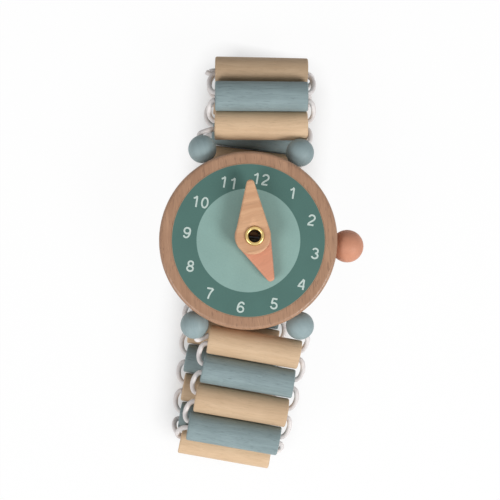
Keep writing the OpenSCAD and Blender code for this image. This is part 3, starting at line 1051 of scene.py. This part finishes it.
class WATCH_OT_dowels(bpy.types.Operator):
    """Saw and sand the strap's dowels, bare and stained in turn"""

    bl_idname = "watch.dowels"
    bl_label = "Strap dowels"

    fullness = {1: 1.015, 2: 1.03, 3: 1.03}
    # Each dowel's own tone, except dowel 3, whose 0.76 is painted shade: the shadow that dowel 2 casts on
    # it
    shades = {1: 1.02, 2: 1.0, 3: 0.76, 17: 1.0, 18: 0.95, 19: 0.9, 20: 0.97, 21: 0.95}

    def shade(self, k):
        """How light dowel k is drawn: known for the ones in front, and scattered for the ones behind. Dowel
        3's low value is painted shade from dowel 2.
        """
        return self.shades.get(k, 0.93 + 0.05 * math.sin(k * GOLDEN_TURN))

    def execute(self, context):
        sizes = context.scene.watch_sizes
        profile = dowel_profile(DOWEL_LENGTH, DOWEL_WIDTH, sizes.dowel_edge, sizes.dowel_bore)
        for k, node in enumerate(DOWELS, start=1):
            local = uneven_dowel(turn_profile(profile, TURN_STEPS), k, DOWEL_LENGTH, DOWEL_WIDTH)
            local[..., 1:] *= self.fullness.get(k, 1.0)
            stained = k % 2 == 0
            points = set_on_axis(local, dowel_at(k), dowel_axis(k))
            piece = piece_from_grid(
                f"{node}_sawn", points, "joined", f"link_{k:02d}",
                finish("Stained Dowel" if stained else "Natural Dowel"), grain=wood_place(local, k),
                shade=self.shade(k))
            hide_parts(node)
        return {"FINISHED"}


class WATCH_OT_elastic(bpy.types.Operator):
    """Thread the elastic through the beads and the dowels"""

    bl_idname = "watch.elastic"
    bl_label = "Elastic"

    leads = (("upper", (("bead_upper_left", 1, -1, 0), ("bead_upper_right", 1, 1, 0))),
             ("lower", (("bead_lower_left", COUNT, -1, 1), ("bead_lower_right", COUNT, 1, 0))))

    tail_start = (1 * MM, -0.9 * MM, 0)
    tail_handle = (-1.2 * MM, 0, 0)
    tail_end = (-3.1 * MM, 0.7 * MM, 0.3 * MM)
    tail_end_handle = (0.8 * MM, -0.5 * MM, 0)
    tail_steps = 12

    def cut_tail(self):
        """The short cut end that stands out of the top dowel's left end: steps along, across and up."""
        axis = dowel_axis(UPPER_COUNT)
        ways = np.stack([axis, *square_pair(axis)])
        base = dowel_at(UPPER_COUNT) - DOWEL_LENGTH / 2 * axis + self.tail_start @ ways
        tip = base + self.tail_end @ ways
        first = base + self.tail_handle @ ways
        return bezier(base, first, tip + self.tail_end_handle @ ways, tip, self.tail_steps)

    def execute(self, context):
        sizes = context.scene.watch_sizes
        for k in range(1, COUNT + 1):
            for side, word in ((-1, "left"), (1, "right")):
                path = strand_path(k, side, sizes)
                link = f"link_{k:02d}"
                if k < UPPER_COUNT:
                    link = (link, f"link_{k + 1:02d}", path[-LOOP_STEPS], path[-1])
                piece = cord_piece(f"cord_{k:02d}_{word}", path, link, sizes.cord_thickness)
                if side < 0:
                    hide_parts(f"cord_{k:02d}")
        for level, pair in self.leads:
            for bead, k, side, around in pair:
                path = lead_path(bead, k, side, around, sizes)
                link = "case"
                if level == "upper":
                    link = ("case", f"link_{k:02d}", path[-LEAD_STEPS], path[-1])
                piece = cord_piece(f"lead_{bead}", path, link, sizes.cord_thickness)
                if side < 0:
                    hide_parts(f"{level}_lead_cords")
        piece = cord_piece("cord_tail", self.cut_tail(), f"link_{UPPER_COUNT:02d}", sizes.cord_thickness)
        return {"FINISHED"}


class WATCH_OT_stage(bpy.types.Operator):
    """Set the floor, the soft lights and the camera"""

    bl_idname = "watch.stage"
    bl_label = "Stage"

    image_size = 500
    pixels_per_mm = 4.538
    away = 300 * MM
    roll = math.radians(-2.51)
    tilt = (math.radians(-0.77), math.radians(1.14))
    aim = (-0.80 * MM, -2.86 * MM)
    aim_level = -5 * MM
    lowest = 10
    floor_gap = 0.1 * MM
    floor_glow = 0.95
    shadow_reach = 7 * MM
    shadow_power = 1.6
    world_level = 0.32
    lamps = (("key", (0.40, -0.28, 0.42), 0.26, 2.6), ("fill", (-0.36, -0.34, 0.42), 0.30, 1.9))

    def floor(self):
        """A pale floor that keeps a light shadow, under the dowel that lies lowest when the strap opens."""
        bpy.ops.mesh.primitive_plane_add(size=4, location=(0, 0, -DOWEL_WIDTH / 2 - self.floor_gap))
        plane = bpy.context.object
        plane.name = "floor"
        material, wiring, shader = new_material("Floor")
        shader.inputs["Base Color"].default_value = (0.92, 0.92, 0.92, 1)
        shader.inputs["Roughness"].default_value = 0.9
        shader.inputs["Specular IOR Level"].default_value = 0.0
        glow = wiring.node("ShaderNodeEmission")
        mix = wiring.node("ShaderNodeMixShader")
        rays = wiring.node("ShaderNodeLightPath").outputs
        seen = wiring.math("MAXIMUM", rays["Is Camera Ray"], rays["Is Glossy Ray"])
        # The glow fades where the watch hides the floor from the sky: painted shadow, added to the lamps'
        # real shadow
        open_sky = wiring.node("ShaderNodeAmbientOcclusion", samples=8)
        open_sky.inputs["Distance"].default_value = self.shadow_reach
        lit = wiring.math("POWER", open_sky.outputs["AO"], self.shadow_power)
        lit = wiring.math("MULTIPLY", lit, self.floor_glow)
        wiring.join(wiring.math("MULTIPLY", seen, lit), mix.inputs[0])
        wiring.join(shader.outputs[0], mix.inputs[1])
        wiring.join(glow.outputs[0], mix.inputs[2])
        output = next(node for node in material.node_tree.nodes if node.type == "OUTPUT_MATERIAL")
        wiring.join(mix.outputs[0], output.inputs["Surface"])
        plane.data.materials.append(material)
        lowest = placed("lowest_dowel", None)
        lowest.location = dowel_at(self.lowest)
        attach(lowest, f"link_{self.lowest:02d}")
        follow = plane.constraints.new("COPY_LOCATION")
        follow.target = lowest
        follow.use_x = False
        follow.use_y = False
        follow.use_offset = True

    def light(self, scene):
        """An even white sky and two soft lamps from below the watch's lower end."""
        world = bpy.data.worlds.new("Studio")
        world.use_nodes = True
        background = next(node for node in world.node_tree.nodes if node.type == "BACKGROUND")
        background.inputs["Color"].default_value = (1, 1, 1, 1)
        wiring = Wiring(world.node_tree)
        rays = wiring.node("ShaderNodeLightPath").outputs
        seen = wiring.math("MAXIMUM", rays["Is Camera Ray"], rays["Is Glossy Ray"])
        seen = wiring.math("MAXIMUM", seen, rays["Is Transmission Ray"])
        wiring.join(wiring.remap(seen, 0, 1, self.world_level, 1.0), background.inputs["Strength"])
        scene.world = world
        for name, place, size, power in self.lamps:
            lamp = bpy.data.lights.new(name, "AREA")
            lamp.size = size
            lamp.energy = power
            away = unit(np.array(place))
            facing = Matrix([*np.column_stack([*square_pair(away), away])])
            placed(name, lamp).matrix_world = Matrix.Translation(place) @ facing.to_4x4()

    def camera(self, scene):
        """A camera straight above, rolled and tilted a little, with a lens for the stated pixels per mm."""
        turn = (Matrix.Rotation(self.roll, 3, "Z") @ Matrix.Rotation(self.tilt[0], 3, "X")
                @ Matrix.Rotation(self.tilt[1], 3, "Y"))
        lens = bpy.data.cameras.new("Camera")
        lens.sensor_width = 36
        lens.lens = lens.sensor_width * self.pixels_per_mm * self.away / MM / self.image_size
        lens.clip_start = 0.01
        turn.transpose()
        place = np.array(turn) @ np.array([*self.aim, self.away]) + np.array([0, 0, self.aim_level])
        scene.camera = placed("Camera", lens)
        scene.camera.matrix_world = Matrix.Translation(place) @ turn.to_4x4()

    def execute(self, context):
        scene = context.scene
        self.floor()
        self.light(scene)
        self.camera(scene)
        scene.view_settings.view_transform = "Standard"
        return {"FINISHED"}


class WATCH_PT_panel(bpy.types.Panel):
    """Lists the steps that dress the watch"""

    bl_label = "Toy watch"
    bl_idname = "WATCH_PT_panel"
    bl_space_type = "VIEW_3D"
    bl_region_type = "UI"
    bl_category = "Watch"

    def draw(self, context):
        for step in STEPS:
            self.layout.operator(step.bl_idname)


STEPS = (WATCH_OT_case, WATCH_OT_numbers, WATCH_OT_hands, WATCH_OT_eyelet, WATCH_OT_beads,
         WATCH_OT_dowels, WATCH_OT_elastic, WATCH_OT_stage)
CLASSES = (WatchSizes, WatchColours, *STEPS, WATCH_PT_panel)


def register():
    """Adds the classes, and the sizes and colours to the scene."""
    for item in CLASSES:
        bpy.utils.register_class(item)
    bpy.types.Scene.watch_sizes = bpy.props.PointerProperty(type=WatchSizes)
    bpy.types.Scene.watch_colours = bpy.props.PointerProperty(type=WatchColours)


def unregister():
    """Takes away what register added."""
    del bpy.types.Scene.watch_colours
    del bpy.types.Scene.watch_sizes
    for item in reversed(CLASSES):
        bpy.utils.unregister_class(item)


def main():
    """Dresses the watch."""
    register()
    scene = bpy.context.scene
    make_finishes(scene.watch_sizes, scene.watch_colours)
    bpy.ops.watch.case()
    bpy.ops.watch.numbers()
    bpy.ops.watch.hands()
    bpy.ops.watch.eyelet()
    bpy.ops.watch.beads()
    bpy.ops.watch.dowels()
    bpy.ops.watch.elastic()
    bpy.ops.watch.stage()


if __name__ == "__main__":
    main()
